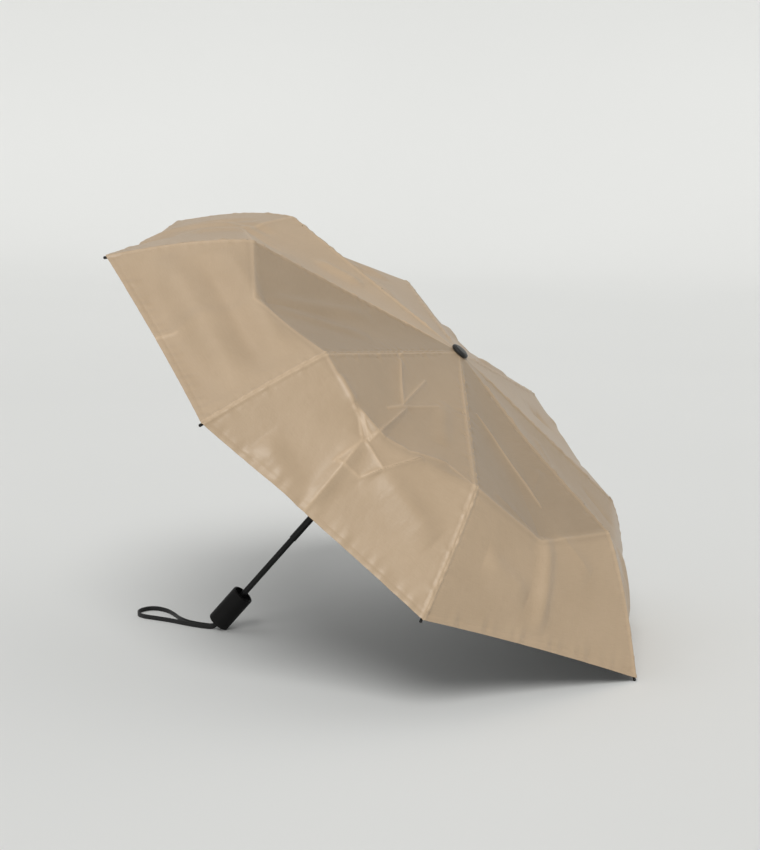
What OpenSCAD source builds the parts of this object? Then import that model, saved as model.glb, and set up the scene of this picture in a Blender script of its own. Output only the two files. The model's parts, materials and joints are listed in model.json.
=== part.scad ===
// Folding umbrella, open, lying on the rim of its handle and on two of its rib tips.
// Eight ribs of three sections each carry eight sewn canopy panels on a telescoping shaft.
// Millimetres. Everything is built along the shaft, from the handle's end at z = 0,
// and then laid down as it rests: +Z up, floor at z = 0, shaft in the XZ plane.

/* [Shaft] */
// Height of the rib pivots above the handle's end
crown_z = 544; // [530:1:580]
// Outer radius of the lower tube, which is fixed in the handle
lower_r = 4.4; // [4.2:0.1:4.5]
// Outer radius of the middle tube
middle_r = 5.3; // [5.3:0.1:5.4]
// Outer radius of the upper tube, which carries the canopy
upper_r = 6.25; // [6.2:0.05:6.5]
// Wall of each tube
tube_wall = 0.8; // [0.5:0.05:0.8]
// Visible length of the lower tube
lower_shown = 115; // [100:1:125]
// Visible length of the middle tube
middle_shown = 145; // [130:1:155]
// Length of each tube that stays inside the next one
tube_overlap = 20; // [15:1:30]

/* [Ribs] */
// Radius of the circle of rib pivots on the crown
pivot_r = 11.5; // [11.5:0.1:12.5]
// Length of a top rib, pivot to first joint
top_len = 156.5; // [150:0.5:160]
// Length of a middle rib, first joint to knee
middle_len = 172.6; // [165:0.1:176]
// Length of an outer rib, knee to tip
outer_len = 199.4; // [180:0.1:205]
// Droop of the top and middle ribs below square to the shaft
rib_droop = 7.5; // [5:0.1:12]
// Droop of the outer ribs
outer_droop = 43.6; // [35:0.1:50]
// Droops of the three sections of the rib that carries the most weight at rest
loaded_droops = [5.0, 1.2, 33.24];
// Number of that rib
loaded_rib = 4; // [1:1:8]
// Turn of rib 1 about the shaft
rib_phase = -151.6; // [-155:0.1:-148]
// Width of a rib channel
rib_w = 3.2; // [3:0.1:3.4]
// Height of a rib channel
rib_h = 3.0; // [2.6:0.1:3.0]
// Offset of each rib joint's pin from the rib's centreline
joint_off = 2.0; // [1.8:0.1:2.0]

/* [Stretchers and runner] */
// Distance of the stretcher's pin from the crown pivot, along the top rib
stretch_at = 75; // [70:1:80]
// Length of a stretcher, pin to runner
stretch_len = 105; // [98:1:106]

/* [Canopy] */
// Gap from a rib's centreline to the underside of the cloth
cloth_off = 3.8; // [3.8:0.1:4.5]
// Thickness of a panel, measured along the shaft
cloth_t = 0.5; // [0.4:0.1:1.2]
// Distance from the shaft at which the cloth bends at mid panel
crease_r = 350; // [335:1:380]
// Drop of that point below the rib pivots
crease_drop = 74; // [60:1:80]
// How far the hem curves in between two tips
hem_scallop = 8; // [2:1:15]

/* [Handle] */
// Outer radius of the handle
handle_r = 16.5; // [16:0.1:18]
// Length of the handle
handle_len = 60; // [58:1:70]
// Rounding of the handle's two rims
rim_round = 2.2; // [1:0.1:2.3]
// Radius of the release button
button_r = 5; // [4:0.1:5.5]
// Height of the button's centre above the handle's end
button_z = 33; // [30:1:36]

/* [Wrist strap] */
// Width of the flat strap
strap_w = 7; // [6:0.5:7]

/* [Rest pose] */
// Angle of the shaft above the floor
shaft_tilt = 48.71; // [48.6:0.01:48.8]

/* [Hidden] */
$fn = 32;
eps = 0.01;
STEEL = [0.13, 0.13, 0.14];
PLASTIC = [0.06, 0.06, 0.06];
BRIGHT = [0.75, 0.75, 0.76];
CLOTH = [0.73, 0.66, 0.55];
RIBS = [0:7];
rib_step = 45;
fold_gap = 0.25;         // side gap between the leaves of a rib joint
pin_r = 0.8;             // rivets and pins of the frame
pin_bore_r = 0.85;       // holes that turn on them
pin_seat_r = 0.82;       // holes that hold them
leaf_t = 1.2;            // centre leaf of a rib joint
cheek_t = 0.8;           // each outer leaf of a rib joint
eye_r = 1.5;             // rounding of a leaf about its pin
bar_gap = 4;             // from a joint's pin to where the channel begins
channel_wall = 0.6;
crown_bar_gap = 5;       // from the crown pin to where the channel begins
crown_leaf_t = 1.6;
crown_slot_w = 2.2;
hub_r = 13.4;
hub_half = 3;            // half the height of the crown hub and of the runner's ring
wire_in = 2.1;           // inner and outer side of a stretcher's two arms
wire_out = 2.9;
wire_h = 2;
lug_start = 12;          // from the stretcher's inner end to its bridge
lug_end = 4.5;           // and to the end of the bridge
rod_r = 1.3;             // outer rib rod
tip_r = 2.2;             // ball of a rib tip
tip_len = 16;
tip_bore = 10;           // depth of the tip's socket for the rod
run_gap = 0.08;          // running clearance of the tubes and the runner
sleeve_r = 8.6;          // runner's sleeve and the grip ring at its end
grip_r = 10.8;
sleeve_len = 22;
shell_wall = 3;
core_r = handle_r - shell_wall - 0.1;
cap_r = 13.5;            // top cap: disc, neck through the cloth, and stem in the upper tube
cap_neck_r = 7;
cap_stem_r = 5.2;
cloth_hole_r = 8.2;
seam_gap = 0.25;         // half the gap between neighbouring panels
strap_r = strap_w / 2 - 0.1;
strap_lie = strap_r + 0.1;
strap_side = 3.9;        // each strap end's distance from the handle's centre

// The strap's centreline from one end to the other: x along the floor from the handle's
// end, y across, z above the floor.
STRAP_ROUTE = [
    [2, -3.9, 12.2], [-2, -3.9, 7.8], [-7, -3.9, 4.7], [-13, -3.9, strap_lie],
    [-22, -2.5, strap_lie], [-34, 1, strap_lie], [-48, 6, strap_lie], [-68, 15, strap_lie],
    [-90, 24, strap_lie], [-112, 31, strap_lie], [-130, 37, strap_lie], [-142, 47, strap_lie],
    [-148, 62, strap_lie], [-147, 78, strap_lie], [-139, 90, strap_lie], [-125, 91, strap_lie],
    [-106, 79, strap_lie], [-88, 58, strap_lie], [-74, 39, strap_lie], [-60, 24.5, strap_lie],
    [-48, 15.5, strap_lie], [-34, 9.4, strap_lie], [-22, 5.6, strap_lie], [-13, 4.2, strap_lie],
    [-7, 3.9, 4.7], [-2, 3.9, 7.8], [2, 3.9, 12.2]
];

// Directions and angles of the ribs
function azimuth(i) = rib_phase + rib_step * i;
function is_loaded(i) = i % 8 == loaded_rib - 1;
function top_angle(i) = is_loaded(i) ? loaded_droops[0] : rib_droop;
function middle_angle(i) = is_loaded(i) ? loaded_droops[1] : rib_droop;
function outer_angle(i) = is_loaded(i) ? loaded_droops[2] : outer_droop;

// In a rib's own plane, [distance from the shaft, height]: the point that lies "along"
// and "above" the start of a bar that droops by an angle
function along_bar(start, droop, along, above) = start
    + along * [cos(droop), -sin(droop)] + above * [sin(droop), cos(droop)];
function first_joint(i) =
    along_bar([pivot_r, crown_z], top_angle(i), top_len, joint_off);
function middle_start(i) = along_bar(first_joint(i), middle_angle(i), 0, -joint_off);
function knee_joint(i) = along_bar(middle_start(i), middle_angle(i), middle_len, -joint_off);
function outer_start(i) = along_bar(knee_joint(i), outer_angle(i), 0, joint_off);
function tip_point(i) = along_bar(outer_start(i), outer_angle(i), outer_len, 0);

// Stretcher: its droop when open puts its end on the runner's ring of pins
stretch_rise = sqrt(pow(stretch_len, 2) - pow(stretch_at * cos(rib_droop), 2));
runner_z = crown_z - stretch_at * sin(rib_droop) - stretch_rise;
stretch_droop = 180 - atan2(stretch_rise, stretch_at * cos(rib_droop));

// Tubes, along the shaft
lower_foot = 8;
lower_top = handle_len + lower_shown + tube_overlap;
middle_foot = handle_len + lower_shown;
middle_top = middle_foot + middle_shown + tube_overlap;
upper_foot = middle_foot + middle_shown;
upper_top = crown_z + hub_half;

// The rest pose: the shaft leans, and the handle's rim touches the floor
lean = 90 - shaft_tilt;
rest_z = (handle_r - rim_round) * sin(lean) - rim_round * cos(lean) + rim_round;
function lying_x(i) = tip_point(i)[0] * cos(azimuth(i)) * cos(lean) + tip_point(i)[1] * sin(lean);
rest_x = -(lying_x(loaded_rib - 1) + lying_x(loaded_rib + 3)) / 2;

module lay_down() translate([rest_x, 0, rest_z]) rotate([0, lean, 0]) children();
module rib_plane(i) lay_down() rotate([0, 0, azimuth(i)]) children();
module at_top(i) rib_plane(i) translate([pivot_r, 0, crown_z]) rotate([0, top_angle(i), 0]) children();
module at_middle(i) at_top(i) translate([top_len, 0, joint_off])
    rotate([0, middle_angle(i) - top_angle(i), 0]) translate([0, 0, -joint_off]) children();
module at_outer(i) at_middle(i) translate([middle_len, 0, -joint_off])
    rotate([0, outer_angle(i) - middle_angle(i), 0]) translate([0, 0, joint_off]) children();

// A cylinder across a rib, centred on its plane
module cross_pin(r, length) rotate([90, 0, 0]) cylinder(r = r, h = length, center = true);
// A plate in the rib's plane, from x0 to x1 and z0 to z1
module plate(x0, x1, z0, z1, thick) translate([x0, -thick / 2, z0]) cube([x1 - x0, thick, z1 - z0]);
module tube(r, wall, z0, z1) translate([0, 0, z0]) difference() {
    cylinder(r = r, h = z1 - z0, $fn = 48);
    translate([0, 0, -eps]) cylinder(r = r - wall, h = z1 - z0 + 2 * eps, $fn = 48);
}

// An inverted U channel that runs along x
module channel(x0, x1) difference() {
    plate(x0, x1, -rib_h / 2, rib_h / 2, rib_w);
    plate(x0 - eps, x1 + eps, -rib_h / 2 - eps, rib_h / 2 - channel_wall, rib_w - 2 * channel_wall);
}

// Centre leaf that ends a channel at a joint; "side" is +1 for a pin above, -1 for one below
module centre_leaf(x_pin, side) difference() {
    union() {
        plate(x_pin - bar_gap - 4, x_pin, side > 0 ? -1 : -joint_off, side > 0 ? joint_off : 1, leaf_t);
        translate([x_pin, 0, side * joint_off]) cross_pin(eye_r, leaf_t);
    }
    translate([x_pin, 0, side * joint_off]) cross_pin(pin_seat_r, leaf_t + 1);
}

// Two cheeks that begin a section at a joint, on either side of the centre leaf
module cheeks(side) difference() {
    union() {
        plate(0, bar_gap + 2, side > 0 ? -1 : -joint_off, side > 0 ? joint_off : 1, 2 * cheek_out());
        translate([0, 0, side * joint_off]) cross_pin(eye_r, 2 * cheek_out());
    }
    plate(-eye_r - eps, bar_gap, -joint_off - eye_r - eps, joint_off + eye_r + eps, 2 * cheek_in());
    translate([0, 0, side * joint_off]) cross_pin(pin_bore_r, rib_w + 2);
}
function cheek_in() = leaf_t / 2 + fold_gap;
function cheek_out() = cheek_in() + cheek_t;

// Rivet of a rib joint: a shank with two low heads outside the cheeks
module rivet(x, z) translate([x, 0, z]) {
    cross_pin(pin_r, 2 * cheek_out() + 0.1);
    for (s = [-1, 1]) translate([0, s * (cheek_out() + 0.15), 0]) cross_pin(1.25, 0.2);
}

module top_rib(i) color(STEEL) at_top(i) {
    difference() {
        union() {
            channel(crown_bar_gap, top_len - bar_gap);
            plate(0, crown_bar_gap + 4, -rib_h / 2, rib_h / 2, crown_leaf_t);
            cross_pin(1.8, crown_leaf_t);
            centre_leaf(top_len, 1);
        }
        cross_pin(pin_bore_r, rib_w);
        translate([stretch_at, 0, 0]) cross_pin(pin_seat_r, rib_w + 1);
    }
    translate([stretch_at, 0, 0]) stretcher_pin();
    rivet(top_len, joint_off);
}

module stretcher_pin() {
    cross_pin(pin_r, 2 * wire_out + 0.2);
    for (s = [-1, 1]) translate([0, s * (wire_out + 0.2), 0]) cross_pin(1.2, 0.2);
}

module middle_rib(i) color(STEEL) at_middle(i) {
    channel(bar_gap, middle_len - bar_gap);
    cheeks(1);
    centre_leaf(middle_len, -1);
    rivet(middle_len, -joint_off);
}

module outer_rib(i) color(STEEL) at_outer(i) {
    cheeks(-1);
    plate(bar_gap - eps, bar_gap + 5, -rod_r, rod_r, 2 * cheek_out());
    translate([bar_gap + 1, 0, 0]) rotate([0, 90, 0])
        cylinder(r = rod_r, h = outer_len - tip_len + tip_bore - bar_gap - 1.1);
    rib_tip();
}

// Turned metal tip, a separate piece pressed over the end of the rod
module rib_tip() translate([outer_len - tip_len, 0, 0]) rotate([0, 90, 0]) difference() {
    rotate_extrude() difference() {
        union() {
            square([1.9, tip_len]);
            translate([0, tip_len]) circle(r = tip_r);
        }
        translate([-2 * tip_r, -tip_r]) square([2 * tip_r, tip_len + 3 * tip_r]);
    }
    translate([0, 0, -eps]) cylinder(r = rod_r + 0.02, h = tip_bore);
}

module stretcher(i) color(STEEL) at_top(i) translate([stretch_at, 0, 0])
    rotate([0, stretch_droop - top_angle(i), 0]) difference() {
        union() {
            for (s = [-1, 1]) translate([0, s * (wire_in + wire_out) / 2, 0]) {
                plate(0, stretch_len - lug_start + eps, -wire_h / 2, wire_h / 2, wire_out - wire_in);
                cross_pin(wire_h / 2 + 0.6, wire_out - wire_in);
            }
            plate(stretch_len - lug_start, stretch_len - lug_end, -wire_h / 2, wire_h / 2, 2 * wire_out);
            plate(stretch_len - lug_end - eps, stretch_len, -wire_h / 2, wire_h / 2, 1.4);
            translate([stretch_len, 0, 0]) cross_pin(eye_r, 1.4);
        }
        cross_pin(pin_bore_r, 2 * wire_out + 1);
    }

// Eight radial slots, open outwards, about one ring of pins
module ring_slots(z) for (i = RIBS) rotate([0, 0, azimuth(i)])
    translate([pivot_r - 2, -crown_slot_w / 2, z - hub_half - eps])
        cube([hub_r, crown_slot_w, 2 * hub_half + 2 * eps]);

module crown_hub() color(PLASTIC) lay_down() difference() {
    translate([0, 0, crown_z - hub_half]) cylinder(r = hub_r, h = 2 * hub_half, $fn = 64);
    translate([0, 0, crown_z - hub_half - eps]) cylinder(r = upper_r + 0.03, h = 2 * hub_half + 2 * eps);
    ring_slots(crown_z);
    for (i = RIBS) rotate([0, 0, azimuth(i)]) translate([pivot_r, 0, crown_z]) cross_pin(pin_seat_r, 6);
}

module crown_pins() color(BRIGHT) for (i = RIBS)
    rib_plane(i) translate([pivot_r, 0, crown_z]) cross_pin(pin_r, 5.6);

module top_cap() color(PLASTIC) lay_down() translate([0, 0, crown_z])
    rotate_extrude($fn = 64) polygon([
        [0, -8], [cap_stem_r, -8], [cap_stem_r, hub_half + 0.05], [cap_neck_r, hub_half + 0.05],
        [cap_neck_r, 5.2], [cap_r - 0.7, 5.2], [cap_r, 5.9], [cap_r, 8], [cap_r - 1, 9.2],
        [cap_r - 4.2, 10.6], [0, 11]
    ]);

module runner() color(PLASTIC) lay_down() difference() {
    translate([0, 0, runner_z]) rotate_extrude($fn = 64) polygon([
        [upper_r + run_gap, -sleeve_len], [grip_r - 0.6, -sleeve_len], [grip_r, -sleeve_len + 0.6],
        [grip_r, -sleeve_len + 4], [sleeve_r, -sleeve_len + 6], [sleeve_r, -hub_half - 2],
        [hub_r, -hub_half + 0.3], [hub_r, hub_half - 0.3], [upper_r + run_gap, hub_half - 0.3]
    ]);
    ring_slots(runner_z);
}

module upper_tube() color(STEEL) lay_down()
    tube(upper_r, upper_r - middle_r - run_gap, upper_foot, upper_top);
module middle_tube() color(STEEL) lay_down()
    tube(middle_r, middle_r - lower_r - run_gap, middle_foot, middle_top);
module lower_tube() color(STEEL) lay_down()
    tube(lower_r, tube_wall, lower_foot, lower_top);

// A point of the handle's outline on the rounding whose centre is at height z
function rim_point(a, z) = [handle_r - rim_round + rim_round * cos(a), z + rim_round * sin(a)];

module handle_shell() color(PLASTIC) lay_down() difference() {
    rotate_extrude($fn = 96) polygon(concat(
        [for (a = [-90:15:0]) rim_point(a, rim_round)],
        [for (a = [0:15:90]) rim_point(a, handle_len - rim_round)],
        [[handle_r - shell_wall + 0.6, handle_len], [handle_r - shell_wall, handle_len - 0.6],
         [handle_r - shell_wall, 0]]
    ));
    translate([0, 0, button_z]) rotate([-90, 0, 0]) cylinder(r = button_r + 0.1, h = handle_r + 1);
}

module handle_core() color(PLASTIC) lay_down() difference() {
    translate([0, 0, 5.2]) cylinder(r = core_r, h = 38, $fn = 64);
    translate([0, 0, lower_foot]) cylinder(r = lower_r + 0.03, h = 60);
    translate([0, 5.6, button_z]) rotate([-90, 0, 0]) cylinder(r = button_r + 1, h = handle_r);
}

module handle_collar() color(PLASTIC) lay_down() translate([0, 0, handle_len - 16])
    rotate_extrude($fn = 64) polygon([
        [lower_r + 0.05, 0], [core_r, 0], [core_r, 12],
        [core_r - 1.2, 12], [core_r - 3.5, 9.4], [lower_r + 0.05, 9.4]
    ]);

module handle_end_cap() color(PLASTIC) lay_down() difference() {
    cylinder(r = core_r, h = 5, $fn = 64);
    for (s = [-1, 1]) translate([0, s * strap_side, -eps]) cylinder(r = strap_r + 0.2, h = 4);
}

module release_button() color(PLASTIC) lay_down() translate([0, 0, button_z]) rotate([-90, 0, 0])
    rotate_extrude($fn = 48) polygon([
        [0, 9.6], [button_r + 0.8, 9.6], [button_r + 0.8, 11.2], [button_r, 11.2],
        [button_r, 16.6], [button_r - 0.4, 17.2], [button_r - 1.4, 17.6], [0, 17.8]
    ]);

// A coil spring along +z as one swept solid
module coil(r, wire, length, turns, per_turn, sides) {
    rings = turns * per_turn;
    points = [for (k = [0:rings], s = [0:sides - 1])
        let (turn = 360 * k / per_turn, around = 360 * s / sides, reach = r + wire * cos(around))
        [reach * cos(turn), reach * sin(turn), length * k / rings + wire * sin(around)]];
    swept_solid(points, rings, sides);
}

// The closed skin through rings of points, each of "sides" points
module swept_solid(points, rings, sides) polyhedron(points = points, convexity = 6, faces = concat(
    [[for (s = [0:sides - 1]) s]],
    [[for (s = [sides - 1:-1:0]) rings * sides + s]],
    [for (k = [0:rings - 1], s = [0:sides - 1])
        [k * sides + s, (k + 1) * sides + s, (k + 1) * sides + (s + 1) % sides]],
    [for (k = [0:rings - 1], s = [0:sides - 1])
        [k * sides + s, (k + 1) * sides + (s + 1) % sides, k * sides + (s + 1) % sides]]
));

module shaft_spring() color(BRIGHT) lay_down() translate([0, 0, lower_foot + 4])
    coil(2.7, 0.5, lower_top - lower_foot - 8, 24, 10, 5);

module button_spring() color(BRIGHT) lay_down() translate([0, 6.2, button_z]) rotate([-90, 0, 0])
    coil(2.6, 0.35, 2.9, 4, 12, 5);

// Points on a Catmull-Rom curve through the route, "steps" to each stretch
function curve_point(p, k, t) =
    let (a = p[max(k - 1, 0)], b = p[k], c = p[k + 1], d = p[min(k + 2, len(p) - 1)])
    0.5 * (2 * b + (c - a) * t + (2 * a - 5 * b + 4 * c - d) * pow(t, 2)
        + (3 * b - a - 3 * c + d) * pow(t, 3));
function curve(p, steps) = concat(
    [for (k = [0:len(p) - 2], s = [0:steps - 1]) curve_point(p, k, s / steps)], [p[len(p) - 1]]);
function unit(v) = v / norm(v);

module wrist_strap() color(PLASTIC) translate([rest_x, 0, 0]) {
    path = curve(STRAP_ROUTE, 3);
    last = len(path) - 1;
    sides = 8;
    points = [for (k = [0:last], s = [0:sides - 1])
        let (
            ahead = unit(path[min(k + 1, last)] - path[max(k - 1, 0)]),
            across = unit(cross(ahead, [0, 0, 1])),
            over = cross(across, ahead),
            around = 360 * s / sides
        ) path[k] + strap_r * (cos(around) * across - sin(around) * over)];
    swept_solid(points, last, sides);
}

// Canopy: the underside of the cloth over rib i, as [distance from the shaft, height]
function cloth_normal(a, b) = let (n = [sin(a) + sin(b), cos(a) + cos(b)]) 2 * n / (n * n);
cloth_hole = [cloth_hole_r, crown_z + cloth_off];
function cloth_joint(i) = middle_start(i) + cloth_off * cloth_normal(top_angle(i), middle_angle(i));
function cloth_knee(i) = outer_start(i) + cloth_off * cloth_normal(middle_angle(i), outer_angle(i));
function cloth_tip(i) = along_bar(tip_point(i), outer_angle(i), -3, cloth_off);
// The same in space, moved off the seam by "side" times the seam gap
function over_rib(i, p, side) = let (a = azimuth(i))
    [p[0] * cos(a) - side * seam_gap * sin(a), p[0] * sin(a) + side * seam_gap * cos(a), p[1]];

module canopy_panel(i) color(CLOTH) lay_down() {
    j = (i + 1) % 8;
    middle = azimuth(i) + rib_step / 2;
    crease = [crease_r * cos(middle), crease_r * sin(middle), crown_z + cloth_off - crease_drop];
    hem = (over_rib(i, cloth_tip(i), 1) + over_rib(j, cloth_tip(j), -1)) / 2;
    under = [
        over_rib(i, cloth_hole, 1), over_rib(j, cloth_hole, -1),
        over_rib(i, cloth_joint(i), 1), over_rib(j, cloth_joint(j), -1),
        over_rib(i, cloth_knee(i), 1), over_rib(j, cloth_knee(j), -1),
        crease, over_rib(i, cloth_tip(i), 1), over_rib(j, cloth_tip(j), -1),
        hem + hem_scallop * unit(crease - hem)
    ];
    over = [for (p = under) p + [0, 0, cloth_t]];
    n = len(under);
    skin = [
        [0, 1, 3], [0, 3, 2], [2, 3, 6], [2, 6, 4], [3, 5, 6],
        [4, 6, 9], [4, 9, 7], [6, 5, 9], [5, 8, 9]
    ];
    rim = [0, 2, 4, 7, 9, 8, 5, 3, 1];
    polyhedron(points = concat(under, over), convexity = 4, faces = concat(
        skin,
        [for (f = skin) [f[2] + n, f[1] + n, f[0] + n]],
        [for (k = [0:len(rim) - 1]) let (a = rim[k], b = rim[(k + 1) % len(rim)]) [a, b, b + n]],
        [for (k = [0:len(rim) - 1]) let (a = rim[k], b = rim[(k + 1) % len(rim)]) [a, b + n, a + n]]
    ));
}

handle_shell();
handle_core();
handle_collar();
handle_end_cap();
release_button();
button_spring();
wrist_strap();
lower_tube();
middle_tube();
upper_tube();
shaft_spring();
runner();
crown_hub();
crown_pins();
top_cap();
for (i = RIBS) {
    top_rib(i);
    stretcher(i);
    middle_rib(i);
    outer_rib(i);
    canopy_panel(i);
}
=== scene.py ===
import json
import math

import bpy
import numpy as np
from mathutils import Matrix, Vector


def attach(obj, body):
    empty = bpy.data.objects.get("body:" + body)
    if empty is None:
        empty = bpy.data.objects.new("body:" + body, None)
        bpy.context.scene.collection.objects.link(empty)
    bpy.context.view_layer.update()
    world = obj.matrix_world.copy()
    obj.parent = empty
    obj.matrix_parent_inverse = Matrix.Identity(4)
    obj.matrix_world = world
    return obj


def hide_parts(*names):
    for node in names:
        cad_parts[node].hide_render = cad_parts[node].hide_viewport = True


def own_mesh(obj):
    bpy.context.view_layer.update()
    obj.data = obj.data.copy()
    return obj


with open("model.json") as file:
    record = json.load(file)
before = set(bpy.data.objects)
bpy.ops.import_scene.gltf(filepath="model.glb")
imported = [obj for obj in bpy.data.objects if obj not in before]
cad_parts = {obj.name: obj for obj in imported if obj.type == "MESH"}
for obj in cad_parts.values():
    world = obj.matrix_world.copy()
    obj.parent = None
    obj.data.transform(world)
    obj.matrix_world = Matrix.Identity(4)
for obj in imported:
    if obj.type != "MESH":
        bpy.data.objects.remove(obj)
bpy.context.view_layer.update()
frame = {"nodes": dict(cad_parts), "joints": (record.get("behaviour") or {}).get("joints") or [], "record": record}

MM = 0.001
GORES = 8
JOINTS = {j["name"]: j for j in frame["joints"]}


# ---------------------------------------------------------------- camera and room
def add_camera():
    yaw, pitch, roll = math.radians(14.771), math.radians(8.222), math.radians(0.11)
    data = bpy.data.cameras.new("camera")
    data.lens, data.sensor_width = 100.43, 36
    data.clip_start, data.clip_end = 0.05, 60
    camera = bpy.data.objects.new("camera", data)
    bpy.context.scene.collection.objects.link(camera)
    camera.location = (0.8375, -3.2502, 0.7998)
    forward = Vector((-math.sin(yaw) * math.cos(pitch), math.cos(yaw) * math.cos(pitch), -math.sin(pitch)))
    camera.rotation_mode = "QUATERNION"
    look = forward.to_track_quat("-Z", "Y").to_matrix()
    camera.rotation_quaternion = (look @ Matrix.Rotation(roll, 3, "Z")).to_quaternion()
    bpy.context.scene.camera = camera


def add_light(name, source, strength, spread, tint):
    """A far, wide lamp that shines from the direction of source."""
    data = bpy.data.lights.new(name, "SUN")
    data.energy, data.color, data.angle = strength, tint, math.radians(spread)
    lamp = bpy.data.objects.new(name, data)
    bpy.context.scene.collection.objects.link(lamp)
    lamp.location = source
    lamp.rotation_euler = (-Vector(source)).to_track_quat("-Z", "Y").to_euler()


def add_room():
    world = bpy.data.worlds.new("world")
    world.use_nodes = True
    world.node_tree.nodes["Background"].inputs["Color"].default_value = (1.0, 1.0, 0.99, 1)
    world.node_tree.nodes["Background"].inputs["Strength"].default_value = 0.36
    bpy.context.scene.world = world
    add_light("key", (0.50, -2.2, 2.3), 1.78, 30, (1.0, 0.995, 0.98))
    add_light("front", (-0.2, -1.0, 0.5), 0.16, 50, (1.0, 1.0, 1.0))
    add_light("top", (-1.5, 0.4, 2.4), 0.25, 50, (1.0, 1.0, 1.0))
    # a floor that curves up into a wall far behind
    width, depth, rise, turn = 30.0, 9.0, 7.0, 3.0
    profile = [(-12.0, 0.0), (depth - turn, 0.0)]
    profile += [(depth - turn + turn * math.sin(a), turn - turn * math.cos(a))
                for a in np.linspace(0.1, math.pi / 2, 16)]
    profile += [(depth, rise)]
    points = [(x, y, z) for y, z in profile for x in (-width / 2, width / 2)]
    faces = [(2 * k, 2 * k + 1, 2 * k + 3, 2 * k + 2) for k in range(len(profile) - 1)]
    mesh = bpy.data.meshes.new("floor")
    mesh.from_pydata(points, [], faces)
    mesh.shade_smooth()
    floor = bpy.data.objects.new("floor", mesh)
    bpy.context.scene.collection.objects.link(floor)
    mesh.materials.append(floor_material())


# ---------------------------------------------------------------- materials
class Nodes:
    """A material's node tree, built by short calls."""

    def __init__(self, name):
        self.material = bpy.data.materials.new(name)
        self.material.use_nodes = True
        self.tree = self.material.node_tree
        self.shader = self.tree.nodes["Principled BSDF"]

    def node(self, kind, links=(), **values):
        n = self.tree.nodes.new(kind)
        for key, value in values.items():
            if hasattr(n, key):
                setattr(n, key, value)
            else:
                n.inputs[key.replace("_", " ")].default_value = value
        for socket, source in links:
            self.tree.links.new(source, n.inputs[socket])
        return n

    def math(self, operation, a, b):
        n = self.node("ShaderNodeMath", operation=operation)
        for i, v in enumerate((a, b)):
            if isinstance(v, (int, float)):
                n.inputs[i].default_value = v
            else:
                self.tree.links.new(v, n.inputs[i])
        return n.outputs[0]

    def ramp(self, source, stops):
        n = self.node("ShaderNodeValToRGB", [("Fac", source)])
        while len(n.color_ramp.elements) < len(stops):
            n.color_ramp.elements.new(0.5)
        for element, (place, color) in zip(n.color_ramp.elements, stops):
            element.position, element.color = place, (*color, 1)
        return n.outputs["Color"]

    def noise(self, coords, scale, detail=3.0, rough=0.5):
        return self.node("ShaderNodeTexNoise", [("Vector", coords)], Scale=scale, Detail=detail,
                         Roughness=rough).outputs["Fac"]

    def stretched(self, coords, scale):
        return self.node("ShaderNodeMapping", [("Vector", coords)], Scale=scale).outputs["Vector"]

    def scaled(self, color, factor):
        n = self.node("ShaderNodeVectorMath", [("Vector", color)], operation="SCALE")
        self.tree.links.new(factor, n.inputs["Scale"])
        return n.outputs["Vector"]

    def bump(self, height, distance, strength=1.0, normal=None):
        links = [("Height", height)] + ([("Normal", normal)] if normal else [])
        return self.node("ShaderNodeBump", links, Distance=distance, Strength=strength).outputs["Normal"]

    def set(self, **values):
        for key, value in values.items():
            socket = self.shader.inputs[key.replace("_", " ")]
            if hasattr(value, "links") or isinstance(value, bpy.types.NodeSocket):
                self.tree.links.new(value, socket)
            else:
                socket.default_value = value
        return self.material


# The colour sockets of a Mix node, which share their names with its number and vector sockets
MIX_A, MIX_B, MIX_RESULT = 6, 7, 2


def grey(v, warm=0.0):
    return (v * (1 + warm), v, v * (1 - warm))


def floor_material():
    n = Nodes("floor")
    coords = n.node("ShaderNodeTexCoord").outputs["Object"]
    tone = n.ramp(n.noise(coords, 0.6, 2.0), [(0.3, (0.775, 0.782, 0.772)), (0.7, (0.790, 0.797, 0.787))])
    n.shader.inputs["Roughness"].default_value = 0.9
    n.shader.inputs["Specular IOR Level"].default_value = 0.1
    # the backdrop is a little darker the higher it rises, to balance the key light on it
    height = n.node("ShaderNodeSeparateXYZ", [("Vector", coords)]).outputs["Z"]
    shade = n.node("ShaderNodeMapRange", [("Value", height)], From_Min=0.0, From_Max=3.0, To_Min=1.0,
                   To_Max=0.80).outputs["Result"]
    return n.set(Base_Color=n.scaled(tone, shade))


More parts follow.
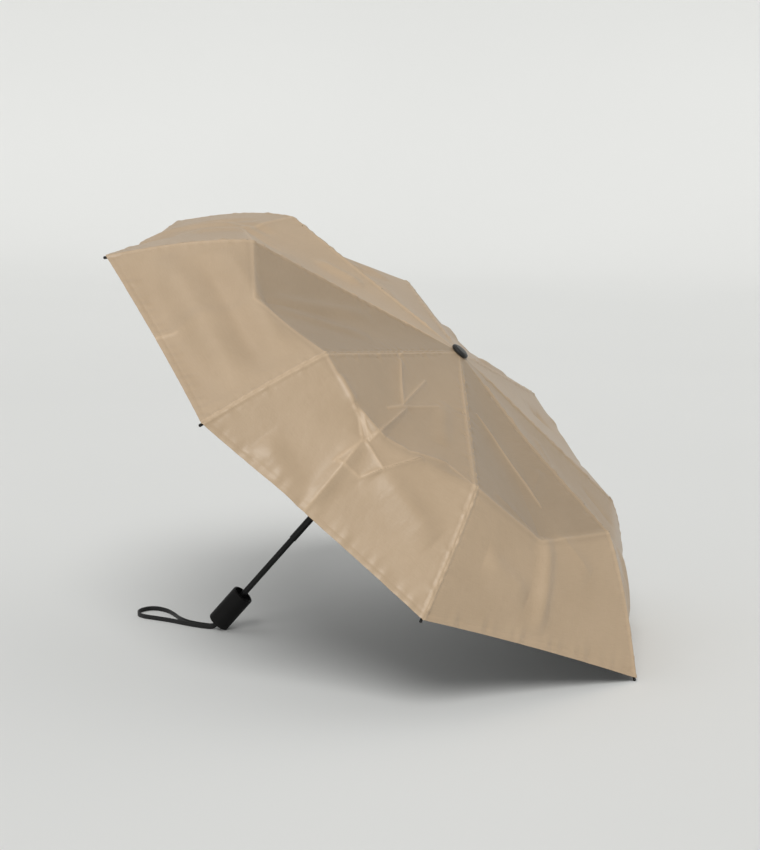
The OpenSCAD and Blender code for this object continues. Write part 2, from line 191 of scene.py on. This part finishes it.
def cloth_material(name, light, dark, sheen, wrinkle):
    """Woven satin, with its threads along the canopy's own map in metres."""
    n = Nodes(name)
    flat = n.node("ShaderNodeUVMap", uv_map="cloth").outputs["UV"]
    warp = n.node("ShaderNodeTexWave", [("Vector", flat)], bands_direction="X", Scale=330.0).outputs["Fac"]
    weft = n.node("ShaderNodeTexWave", [("Vector", flat)], bands_direction="Y", Scale=330.0).outputs["Fac"]
    weave = n.math("ADD", n.math("MULTIPLY", warp, 0.5), n.math("MULTIPLY", weft, 0.5))
    slubs = n.noise(n.stretched(flat, (60.0, 900.0, 1.0)), 1.0, 2.0)
    clouds = n.noise(flat, 9.0, 4.0, 0.55)
    creases = n.noise(n.stretched(flat, (30.0, 14.0, 1.0)), 1.0, 5.0, 0.6)
    mixed = n.math("ADD", n.math("MULTIPLY", clouds, 0.65), n.math("MULTIPLY", slubs, 0.35))
    # the surface's tone attribute holds painted shade, sheen and highlights, and it scales the cloth's colour
    painted_shade_and_highlights = n.node("ShaderNodeAttribute", attribute_name="tone").outputs["Fac"]
    color = n.scaled(n.ramp(mixed, [(0.30, dark), (0.70, light)]), painted_shade_and_highlights)
    rough = n.math("ADD", n.math("MULTIPLY", clouds, 0.16), 0.36)
    soft = n.bump(creases, wrinkle, 0.6)
    fine = n.bump(weave, 0.00006, 0.5, soft)
    n.shader.inputs["Sheen Weight"].default_value = sheen
    n.shader.inputs["Sheen Roughness"].default_value = 0.45
    n.shader.inputs["Specular IOR Level"].default_value = 0.5
    return n.set(Base_Color=color, Roughness=rough, Normal=fine)


def lacquer_material(name, base, worn, metallic, rough, streak):
    """Lacquered steel: streaks along the piece, faint scuffs and a few worn flecks."""
    n = Nodes(name)
    coords = n.node("ShaderNodeTexCoord").outputs["Object"]
    flecks = n.noise(coords, 420.0, 2.0)
    scuffs = n.noise(n.stretched(coords, streak), 1.0, 4.0, 0.6)
    mask = n.ramp(flecks, [(0.60, (0, 0, 0)), (0.74, (1, 1, 1))])
    tone = n.ramp(scuffs, [(0.3, grey(base)), (0.75, grey(base * 1.7))])
    color = n.node("ShaderNodeMix", [("Factor", n.math("MULTIPLY", mask, 0.35))], data_type="RGBA")
    n.tree.links.new(tone, color.inputs[MIX_A])
    color.inputs[MIX_B].default_value = (*grey(worn), 1)
    n.shader.inputs["Metallic"].default_value = metallic
    n.shader.inputs["Coat Weight"].default_value = 0.08
    n.shader.inputs["Coat Roughness"].default_value = 0.25
    uneven = n.math("ADD", n.math("MULTIPLY", scuffs, 0.25), rough)
    return n.set(Base_Color=color.outputs[MIX_RESULT], Roughness=uneven, Normal=n.bump(scuffs, 0.00008, 0.4))


def plastic_material(name, base, rough, grain, gloss=0.5):
    """Moulded plastic: fine grain, with smudges in its shine."""
    n = Nodes(name)
    coords = n.node("ShaderNodeTexCoord").outputs["Object"]
    fine = n.noise(coords, 1500.0, 2.0)
    smudge = n.noise(coords, 45.0, 4.0, 0.6)
    color = n.ramp(smudge, [(0.3, grey(base)), (0.75, grey(base * 1.5, 0.02))])
    uneven = n.math("ADD", n.math("MULTIPLY", smudge, 0.18), rough)
    n.shader.inputs["Specular IOR Level"].default_value = gloss
    return n.set(Base_Color=color, Roughness=uneven, Normal=n.bump(fine, grain, 0.6))


def webbing_material():
    """Flat woven webbing: ribs across the strap, and threads along it."""
    n = Nodes("strap webbing")
    flat = n.node("ShaderNodeUVMap", uv_map="cloth").outputs["UV"]
    picks = n.node("ShaderNodeTexWave", [("Vector", flat)], bands_direction="Y", Scale=150.0).outputs["Fac"]
    ends = n.node("ShaderNodeTexWave", [("Vector", flat)], bands_direction="X", Scale=260.0).outputs["Fac"]
    weave = n.math("MULTIPLY", picks, ends)
    fuzz = n.noise(flat, 700.0, 3.0)
    color = n.ramp(n.math("ADD", n.math("MULTIPLY", weave, 0.6), n.math("MULTIPLY", fuzz, 0.4)),
                   [(0.25, grey(0.003)), (0.8, grey(0.012))])
    n.shader.inputs["Sheen Weight"].default_value = 0.08
    n.shader.inputs["Sheen Roughness"].default_value = 0.5
    uneven = n.math("ADD", n.math("MULTIPLY", fuzz, 0.2), 0.6)
    return n.set(Base_Color=color, Roughness=uneven, Normal=n.bump(weave, 0.0003, 0.7))


def paint_nodes():
    """The finish of every CAD piece that stays in view."""
    finish = {
        "rib_steel": lacquer_material("rib lacquer", 0.018, 0.20, 0.75, 0.30, (90.0, 90.0, 90.0)),
        "shaft_metal": lacquer_material("shaft lacquer", 0.006, 0.08, 0.45, 0.30, (40.0, 600.0, 40.0)),
        "handle_plastic": plastic_material("soft touch plastic", 0.0035, 0.50, 0.00003, 0.22),
        "hub_plastic": plastic_material("moulded plastic", 0.010, 0.36, 0.00003),
        "cap_plastic": plastic_material("cap plastic", 0.010, 0.26, 0.00002),
        "spring_steel": lacquer_material("spring wire", 0.30, 0.60, 1.0, 0.22, (300.0, 300.0, 300.0)),
    }
    slots = {s["node"]: s["material_slot"] for s in frame["record"]["subparts"]}
    for name, node in frame["nodes"].items():
        if slots.get(name) in finish:
            node.data.materials.clear()
            node.data.materials.append(finish[slots[name]])


# ---------------------------------------------------------------- the frame's own geometry
def vec(values):
    return np.array(values, float)


def unit(v):
    return v / np.linalg.norm(v)


PIVOTS = [vec(JOINTS["canopy_fold" if i == 0 else f"top_rib_{i + 1}_hinge"]["pos_m"]) for i in range(GORES)]
FIRST = [vec(JOINTS[f"middle_rib_{i + 1}_hinge"]["pos_m"]) for i in range(GORES)]
KNEES = [vec(JOINTS[f"outer_rib_{i + 1}_hinge"]["pos_m"]) for i in range(GORES)]
CROWN = sum(PIVOTS) / GORES
UP = -unit(vec(JOINTS["shaft_collapse"]["axis"]))
RADIAL = [unit(p - CROWN) for p in PIVOTS]
CLOTH_OFF = 3.9 * MM          # the cloth's middle above a rib's centreline
PIN_OFF = 2.0 * MM            # a joint's pin off that centreline
TIP_R = 2.2 * MM
HOLE = vec([8.4, 4.3]) * MM   # the cloth's edge under the cap, from the axis and above the pivots


def rib_line(i):
    """The cloth's line over rib i: hole, first joint, knee and tip, as (distance from the axis, height)."""
    def flat(p):
        return vec([(p - CROWN) @ RADIAL[i], (p - CROWN) @ UP])

    def normal(d):
        return vec([-d[1], d[0]])

    node = frame["nodes"][f"outer_rib_{i + 1}"]
    ends = np.array([v.co for v in node.data.vertices], float)
    far = flat(ends[np.argmax(np.linalg.norm(ends - CROWN, axis=1))])
    pivot, first, knee = flat(PIVOTS[i]), flat(FIRST[i]), flat(KNEES[i])
    # each bar runs parallel to the line between its pins, less the pins' offsets
    top = unit(first - pivot)
    top = turned(top, math.asin(PIN_OFF / np.linalg.norm(first - pivot)), -1)
    middle = turned(unit(knee - first), math.asin(2 * PIN_OFF / np.linalg.norm(knee - first)), 1)
    outer = turned(unit(far - knee), math.asin(PIN_OFF / np.linalg.norm(far - knee)), -1)

    def corner(p, a, b, lift):
        bisector = normal(a) + normal(b)
        return p + 2 * lift * bisector / (bisector @ bisector)

    tip = far - (TIP_R + 1 * MM) * outer + (TIP_R + 0.4 * MM) * normal(outer)
    return [HOLE, corner(first, top, middle, CLOTH_OFF - PIN_OFF),
            corner(knee, middle, outer, CLOTH_OFF + PIN_OFF), tip]


def turned(d, angle, way):
    c, s = math.cos(angle), math.sin(angle) * way
    return vec([c * d[0] - s * d[1], s * d[0] + c * d[1]])


LINES = [rib_line(i) for i in range(GORES)]


# ---------------------------------------------------------------- the canopy
SECTION_ROWS = (34, 40, 50)   # rows of the top, middle and outer section
COLUMNS = 84                  # across one gore, an even number
CLOTH_T = 0.35 * MM
# the mid-gore bend from the middle of the knees' chord: out and down
BULGE = [vec([34, 0, -16 if g == 4 else -30]) * MM for g in range(GORES)]
HEM_IN = 6 * MM
TENT_ROUND = 0.06             # how far the top of the V is rounded off, as a share of its height
SOFT_SPREAD = 11              # a fold wider than this is a soft one
ROD_BOW = vec([6, 4, 4, 5, 9, 6, 6, 8]) * MM  # how far the cloth bows out over each outer rib
# Painted shade and sheen: each gore's top and middle sections are darkened or lightened in their base colour,
# matched to the photo; it stands in for satin's sheen
PAINTED_SHADE_TONES = (0.78, 0.90, 0.76, 0.86, 0.95, 0.95, 1.0, 1.08)
FINE_GORES = (0, 1, 2)        # the gores that face the viewer, in a finer grid
SECTION_BODIES = ("top_rib", "middle_rib", "outer_rib")

# Folds of the gores that face the viewer, as ridges: start and end (along the gore's middle,
# across it), height and half width, all in millimetres. The ends were read off the photo and
# carried onto the gores by a scratch script, and so were the lines below.
FOLDS = {
    1: [
        ((148, -61), (247, -11), 1.6, 9), ((148, -10), (253, -12), 1.2, 8),
        ((247, -5), (356, -13), 2.6, 8), ((277, -23), (182, 26), 1.2, 10),
        ((336, -48), (342, -13), 1.6, 7), ((337, -50), (359, -22), -1.4, 7),
        ((360, -17), (371, 25), 1.6, 8), ((390, 9), (329, 54), 2.4, 8),
        ((344, -13), (331, 35), 1.6, 9), ((331, 35), (303, 84), 1.4, 10),
        ((393, -27), (391, 9), 1.2, 8), ((319, -100), (334, -60), 1.6, 8),
        ((359, -21), (442, -16), 1.8, 12), ((423, -116), (439, -28), 2.0, 14),
        ((373, 26), (387, 132), 2.0, 14), ((160, 30), (262, 62), 1.0, 12),
    ],
    0: [
        ((350, 0), (444, 0), 0.7, 14), ((345, -120), (350, 110), 1.6, 12),
        ((372, -120), (376, 128), -2.0, 12), ((402, -140), (404, 140), 2.1, 13),
        ((428, -150), (426, 150), -1.8, 12), ((150, -30), (330, -8), 1.2, 14),
        ((180, 30), (330, 12), 1.0, 12),
    ],
    2: [
        ((136, -32), (282, 27), 1.8, 10), ((340, 10), (440, 8), 1.8, 12),
        ((300, -80), (344, -10), 1.4, 10), ((382, -100), (410, -20), 1.6, 12),
        ((330, 30), (372, 92), 1.4, 10), ((210, 60), (262, 20), 1.0, 10),
    ],
}

# Sharp lines pressed in when the canopy was folded, as start and end
LINES_PRESSED = {
    0: [((314, -128), (350, -2)), ((350, -2), (314, 128)), ((426, 4), (443, 2))],
    1: [
        ((314, -128), (352, -14)), ((148, -61), (247, -11)), ((148, -10), (253, -12)),
        ((247, -5), (356, -13)), ((277, -23), (182, 26)), ((336, -48), (342, -13)),
        ((337, -50), (359, -22)), ((337, -44), (356, -14)), ((360, -17), (371, 25)),
        ((390, 9), (329, 54)), ((344, -13), (331, 35)), ((331, 35), (303, 84)),
        ((393, -27), (391, 9)), ((247, -11), (277, -23)), ((342, -13), (394, -30)),
        ((359, -21), (442, -16)), ((303, 84), (314, 128)),
    ],
    2: [((314, -128), (348, 0)), ((348, 0), (316, 129)), ((136, -32), (282, 27))],
    7: [((314, -128), (348, 0)), ((348, 0), (314, 128))],
}


def folds_of(gore):
    """The folds above, or for a gore on the far side a few of the same sort."""
    if gore in FOLDS:
        return FOLDS[gore]
    chance = np.random.default_rng(40 + gore)
    found = [((348, 0), (442, chance.uniform(-8, 8)), 1.8, 12)]
    for _ in range(8):
        x, slope = chance.uniform(150, 410), chance.uniform(-0.8, 0.8)
        y, reach = chance.uniform(-0.25, 0.25) * x, chance.uniform(35, 85)
        found.append(((x, y), (x + reach * math.cos(slope), y + reach * math.sin(slope)),
                      chance.choice([-1, 1]) * chance.uniform(0.8, 1.8), chance.uniform(8, 14)))
    return found


def along(rib, s):
    """The point at s on a rib's line, with s from 0 to 3; the last section bows outwards."""
    points = vec(LINES[rib])
    k = np.clip(np.floor(s).astype(int), 0, 2)
    f = (s - k)[:, None]
    bar = unit(points[3] - points[2])
    lift = np.where(k == 2, 4 * (s - k) * (1 - s + k) * (1.3 - 0.6 * (s - k)), 0)[:, None]
    return points[k] * (1 - f) + points[k + 1] * f + lift * ROD_BOW[rib] * vec([-bar[1], bar[0]])


def fineness(gore):
    return 2 if gore in FINE_GORES else 1


def gore_surface(gore):
    """The gore's middle surface: its points, its map in metres, and its tint at each point, which holds painted
    shade per gore and painted highlights along creases and seams.
    """
    i, j = gore, (gore + 1) % GORES
    ahead = unit(RADIAL[i] + RADIAL[j])
    across = unit(np.cross(UP, ahead))
    across = across * np.sign(across @ RADIAL[j])
    half = math.pi / GORES
    fine = fineness(gore)
    s = [np.linspace(k, k + 1, fine * n + 1)[:-1] for k, n in enumerate(SECTION_ROWS)]
    s = np.concatenate(s + [[3.0]])
    t = np.linspace(0, 1, fine * COLUMNS + 1)

    def seam(rib, side):
        line = along(rib, s)
        return np.stack([line[:, 0] * math.cos(half), side * line[:, 0] * math.sin(half), line[:, 1]], 1)

    left, right = seam(i, -1), seam(j, 1)
    p = left[:, None] * (1 - t)[None, :, None] + right[:, None] * t[None, :, None]
    width = np.linalg.norm(right - left, axis=1)

    # between the knees the cloth bends in a V that reaches past their chord
    s2, t2 = s[:, None], t[None, :]
    blunt = TENT_ROUND / (1 + TENT_ROUND)
    tent = (1 - np.abs(2 * t2 - 1) + TENT_ROUND) / (1 + TENT_ROUND)
    tent = tent - blunt * np.exp(-((t2 - 0.5) / 0.05) ** 2)
    tent = np.where(t2 * (1 - t2) <= 0, 0, tent - blunt * (1 - tent))
    bow = 4 * t2 * (1 - t2)
    inner = np.clip(s2 / 2, 0, 1)
    vee = np.clip((s2 - 1.1) / 0.9, 0, 1)
    vee = vee * vee * (3 - 2 * vee)
    shape = bow * (1 - vee) + tent * vee
    grow = np.where(s2 <= 2, inner ** 1.7, np.clip(3 - s2, 0, 1))
    p = p + (grow * shape)[..., None] * BULGE[gore]
    p[..., 0] -= HEM_IN * bow * np.clip(s2 - 2, 0, 1) ** 2

    # round the V off
    row = fine * (SECTION_ROWS[0] + SECTION_ROWS[1])
    for spread, share in ((2, 0.5), (1, 0.5)):
        for k in range(-spread, spread + 1):
            r = row + k
            middle = (p[r - 1] + p[r + 1]) / 2
            p[r] = p[r] * (1 - share) + middle * share
    p[:, 0], p[:, -1] = left, right

    # folds, seams and hem, as heights along the surface's normal
    normal = surface_normals(p)
    x, y = p[..., 0] / MM, p[..., 1] / MM
    from_seam = np.minimum(t, 1 - t)[None, :] * width[:, None] / MM
    down = np.linalg.norm(p[-1][None] - p, axis=2) / MM
    length = np.concatenate([[0], np.cumsum(np.linalg.norm(np.diff(left, axis=0), axis=1))]) / MM
    height = np.zeros_like(x)
    pressed = np.zeros_like(x)
    for (a, b, rise, spread) in folds_of(gore):
        a, b = vec(a), vec(b)
        d = b - a
        f = ((x - a[0]) * d[0] + (y - a[1]) * d[1]) / (d @ d)
        fade = np.clip(1.15 - np.abs(2 * np.clip(f, -0.2, 1.2) - 1) ** 3, 0, 1)
        f = np.clip(f, 0, 1)
        away = np.hypot(x - a[0] - f * d[0], y - a[1] - f * d[1])
        gain, power = (3.4, 2) if spread > SOFT_SPREAD else (2.0, 1.15)
        height += gain * rise * np.exp(-(away / spread) ** power) * fade
    for (a, b) in LINES_PRESSED.get(gore, ()):
        a, b = vec(a), vec(b)
        d = b - a
        f = np.clip(((x - a[0]) * d[0] + (y - a[1]) * d[1]) / (d @ d), 0, 1)
        away = np.hypot(x - a[0] - f * d[0], y - a[1] - f * d[1])
        pressed = np.maximum(pressed, np.exp(-(away / 1.9) ** 2))
    height += 1.1 * pressed
    height *= np.clip(from_seam / 18, 0, 1)
    chance = np.random.default_rng(7 + gore)
    wave = sum(chance.uniform(0.4, 1) * np.sin(length / w + chance.uniform(0, 6.28))
               for w in (2.3, 3.1, 4.7, 7.9))[:, None]
    seam_pucker = 0.42 * wave * np.exp(-(from_seam - 3) ** 2 / 60) * np.clip(from_seam / 2, 0, 1)
    # extra gathers where the cloth is tied at each joint
    for place in (fine * SECTION_ROWS[0], row):
        near = np.exp(-((length[:, None] - length[place]) / 16) ** 2)
        gather = 1.1 * near * np.sin(length[:, None] / 2.6) * np.exp(-from_seam / 14)
        seam_pucker += gather * np.clip(from_seam / 2, 0, 1)
    welt = 1.2 * np.exp(-((from_seam - 2.2) / 1.7) ** 2) * np.clip(from_seam / 1.5, 0, 1)
    welt -= 0.35 * np.exp(-((from_seam - 6) / 2) ** 2)
    hem_wave = sum(chance.uniform(0.4, 1) * np.sin(y / w + chance.uniform(0, 6.28))
                   for w in (2.6, 3.7, 5.9, 9.1))
    hem = (0.55 * hem_wave * np.exp(-((down - 9) / 12) ** 2) * np.clip(from_seam / 6, 0, 1)
           - 0.5 * np.exp(-((down - 9) / 1.6) ** 2) + 0.5 * np.exp(-((down - 3) / 4) ** 2))
    height += seam_pucker + welt + hem
    height = np.where(from_seam < 6, np.maximum(height, -0.1), height)
    height *= np.clip((x - 25) / 40, 0, 1)
    p = p + normal * (height * MM)[..., None]

    base = np.stack([ahead, across, UP])
    flat_map = np.stack([p[..., 1], np.broadcast_to(length[:, None] * MM, x.shape)], -1)
    # painted shade and sheen: the top and middle sections are scaled by the gore's factor above, the outer section
    # keeps the plain colour
    tone = PAINTED_SHADE_TONES[gore] + (1 - PAINTED_SHADE_TONES[gore]) * np.clip((s2 - 1.94) / 0.12, 0, 1) * np.ones_like(t2)
    # painted highlights: lighter along the pressed crease lines and along a band just inside each seam
    tone = tone + 0.16 * pressed + 0.14 * np.exp(-((from_seam - 1.5) / 1.8) ** 2)
    return CROWN + p @ base, flat_map, tone


def surface_normals(p):
    """Upward unit normals of a grid of points."""
    down_rows, over_columns = np.gradient(p, axis=0), np.gradient(p, axis=1)
    n = np.cross(down_rows, over_columns)
    n /= np.maximum(np.linalg.norm(n, axis=2), 1e-12)[..., None]
    return n


def cloth_piece(name, points, normals, flat_map, tint, outside, inside):
    """A closed thin sheet over a grid of points, outside and inside in their own materials."""
    rows, columns = points.shape[:2]
    count = rows * columns
    shift = normals * (CLOTH_T / 2)
    both = np.concatenate([(points + shift).reshape(-1, 3), (points - shift).reshape(-1, 3)])
    k = np.arange(count).reshape(rows, columns)
    quads = np.stack([k[:-1, :-1], k[1:, :-1], k[1:, 1:], k[:-1, 1:]], -1).reshape(-1, 4)
    ring = np.concatenate([k[0, :-1], k[:-1, -1], k[-1, :0:-1], k[:0:-1, 0]])
    after = np.roll(ring, -1)
    rim = np.stack([ring, after, after + count, ring + count], -1)
    faces = np.concatenate([quads, quads[:, ::-1] + count, rim])
    mesh = bpy.data.meshes.new(name)
    mesh.from_pydata(both.tolist(), [], faces.tolist())
    mesh.materials.append(outside)
    mesh.materials.append(inside)
    sides = np.repeat([0, 1, 0], [len(quads), len(quads), len(rim)]).astype(np.int32)
    mesh.polygons.foreach_set("material_index", sides)
    mesh.shade_smooth()
    uv = np.concatenate([flat_map.reshape(-1, 2)] * 2)
    # the tone attribute carries the painted shade and painted highlights to the cloth material
    tone = mesh.attributes.new("tone", "FLOAT", "POINT")
    tone.data.foreach_set("value", np.concatenate([tint.ravel()] * 2).astype(np.float32))
    layer = mesh.uv_layers.new(name="cloth")
    corner = np.zeros(len(mesh.loops), np.int32)
    mesh.loops.foreach_get("vertex_index", corner)
    layer.data.foreach_set("uv", uv[corner].ravel())
    mesh.update()
    mesh.normals_split_custom_set_from_vertices(
        np.concatenate([normals.reshape(-1, 3), -normals.reshape(-1, 3)]).tolist())
    piece = bpy.data.objects.new(name, mesh)
    bpy.context.scene.collection.objects.link(piece)
    return piece


def piece_area(points):
    a = np.cross(points[1:, :-1] - points[:-1, :-1], points[:-1, 1:] - points[:-1, :-1])
    b = np.cross(points[1:, 1:] - points[:-1, 1:], points[1:, 1:] - points[1:, :-1])
    return (np.linalg.norm(a, axis=2).sum() + np.linalg.norm(b, axis=2).sum()) / 2


def add_canopy():
    outside = cloth_material("canopy satin", (0.520, 0.390, 0.262), (0.446, 0.330, 0.215), 0.06, 0.0022)
    inside = cloth_material("canopy lining", (0.014, 0.014, 0.015), (0.008, 0.008, 0.009), 0.0, 0.0010)
    for gore in range(GORES):
        half = fineness(gore) * COLUMNS // 2
        starts = fineness(gore) * np.cumsum([0, *SECTION_ROWS])
        points, flat_map, tint = gore_surface(gore)
        normals = surface_normals(points)
        normals *= np.sign(normals[10, 10] @ UP)
        for side, columns in (("a", slice(0, half + 1)), ("b", slice(half, None))):
            rib = gore if side == "a" else (gore + 1) % GORES
            for k, body in enumerate(SECTION_BODIES):
                rows = slice(starts[k], starts[k + 1] + 1)
                part = points[rows, columns]
                name = f"canopy_{gore + 1}{side}_{body}"
                piece = cloth_piece(name, part, normals[rows, columns], flat_map[rows, columns],
                                    tint[rows, columns], outside, inside)
                edge = part[:, 0] if side == "a" else part[:, -1]
                free = part[:, -1] if side == "a" else part[:, 0]
                bar = unit(edge[-1] - edge[0])
                pull = (free[-1] if k < 2 else free[len(free) // 2]) - edge[-1 if k < 2 else len(edge) // 2]
                pull = unit(pull - bar * (pull @ bar))
                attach(piece, f"{body}_{rib + 1}")
                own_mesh(piece)
                # the flat size and area are taken from the finished surface, not from a cut pattern
                wide = max(np.linalg.norm(free - edge, axis=1).max(), 0.0102)
                long = max(np.linalg.norm(edge[-1] - edge[0]), np.linalg.norm(free[-1] - free[0]))
                area = piece_area(part)
                if area > wide * long:
                    wide = area / long * 1.002
                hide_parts(f"canopy_panel_{gore + 1}")


# ---------------------------------------------------------------- the wrist strap
STRAP_LIE = 3.5               # height of the strap's middle where it lies on the floor
# From one end to the other: along the floor from the handle's end, across, and up, in millimetres
STRAP_ROUTE = [
    (2, -3.9, 12.2), (-2, -3.9, 7.8), (-7, -3.9, 4.7), (-13, -3.9, STRAP_LIE),
    (-22, -2.5, STRAP_LIE), (-34, 1, STRAP_LIE), (-48, 6, STRAP_LIE), (-68, 15, STRAP_LIE),
    (-90, 24, STRAP_LIE), (-112, 31, STRAP_LIE), (-130, 37, STRAP_LIE), (-142, 47, STRAP_LIE),
    (-148, 62, STRAP_LIE), (-147, 78, STRAP_LIE), (-139, 90, STRAP_LIE), (-125, 91, STRAP_LIE),
    (-106, 79, STRAP_LIE), (-88, 58, STRAP_LIE), (-74, 39, STRAP_LIE), (-60, 24.5, STRAP_LIE),
    (-48, 15.5, STRAP_LIE), (-34, 9.4, STRAP_LIE), (-22, 5.6, STRAP_LIE), (-13, 4.2, STRAP_LIE),
    (-7, 3.9, 4.7), (-2, 3.9, 7.8), (2, 3.9, 12.2),
]
STRAP_W, STRAP_T = 6.8 * MM, 1.7 * MM
HANDLE_END_X = -0.26625


def smooth_route(route, steps):
    route = vec(route)
    out = []
    for k in range(len(route) - 1):
        a, b, c, d = (route[min(max(k + m, 0), len(route) - 1)] for m in (-1, 0, 1, 2))
        for t in np.arange(steps) / steps:
            out.append(0.5 * (2 * b + (c - a) * t + (2 * a - 5 * b + 4 * c - d) * t ** 2
                              + (3 * b - a - 3 * c + d) * t ** 3))
    return np.array(out + [route[-1]])


def add_strap():
    path = smooth_route(STRAP_ROUTE, 8) * MM + vec([HANDLE_END_X, 0, 0])
    run = np.gradient(path, axis=0)
    run /= np.linalg.norm(run, axis=1)[:, None]
    up = vec([0, 0, 1]) - run * run[:, 2:3]
    up /= np.linalg.norm(up, axis=1)[:, None]
    side = np.cross(run, up)
    w, t, c = STRAP_W / 2, STRAP_T / 2, STRAP_T * 0.35
    outline = [(-w + c, -t), (0, -t), (w - c, -t), (w, -t + c), (w, t - c), (w - c, t), (0, t), (-w + c, t),
               (-w, t - c), (-w, -t + c)]
    rings = np.array([[p + a * u + b * v for a, b in outline] for p, u, v in zip(path, up, side)])
    n, m = len(path), len(outline)
    k = np.arange(n * m).reshape(n, m)
    faces = [(k[r, q], k[r, (q + 1) % m], k[r + 1, (q + 1) % m], k[r + 1, q])
             for r in range(n - 1) for q in range(m)]
    faces += [tuple(k[0, ::-1]), tuple(k[-1])]
    mesh = bpy.data.meshes.new("wrist_strap_webbing")
    mesh.from_pydata(rings.reshape(-1, 3).tolist(), [], [tuple(int(v) for v in f) for f in faces])
    mesh.shade_smooth()
    length = np.concatenate([[0], np.cumsum(np.linalg.norm(np.diff(path, axis=0), axis=1))])
    layer = mesh.uv_layers.new(name="cloth")
    corner = np.zeros(len(mesh.loops), np.int32)
    mesh.loops.foreach_get("vertex_index", corner)
    uv = np.array([(a, s) for s in length for a, _ in outline])
    layer.data.foreach_set("uv", uv[corner].ravel())
    mesh.materials.append(webbing_material())
    mesh.update()
    strap = bpy.data.objects.new("wrist_strap_webbing", mesh)
    bpy.context.scene.collection.objects.link(strap)
    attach(strap, "handle")
    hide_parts("wrist_strap")


add_camera()
add_strap()
add_room()
paint_nodes()
add_canopy()
bpy.context.scene.view_settings.view_transform = "Standard"
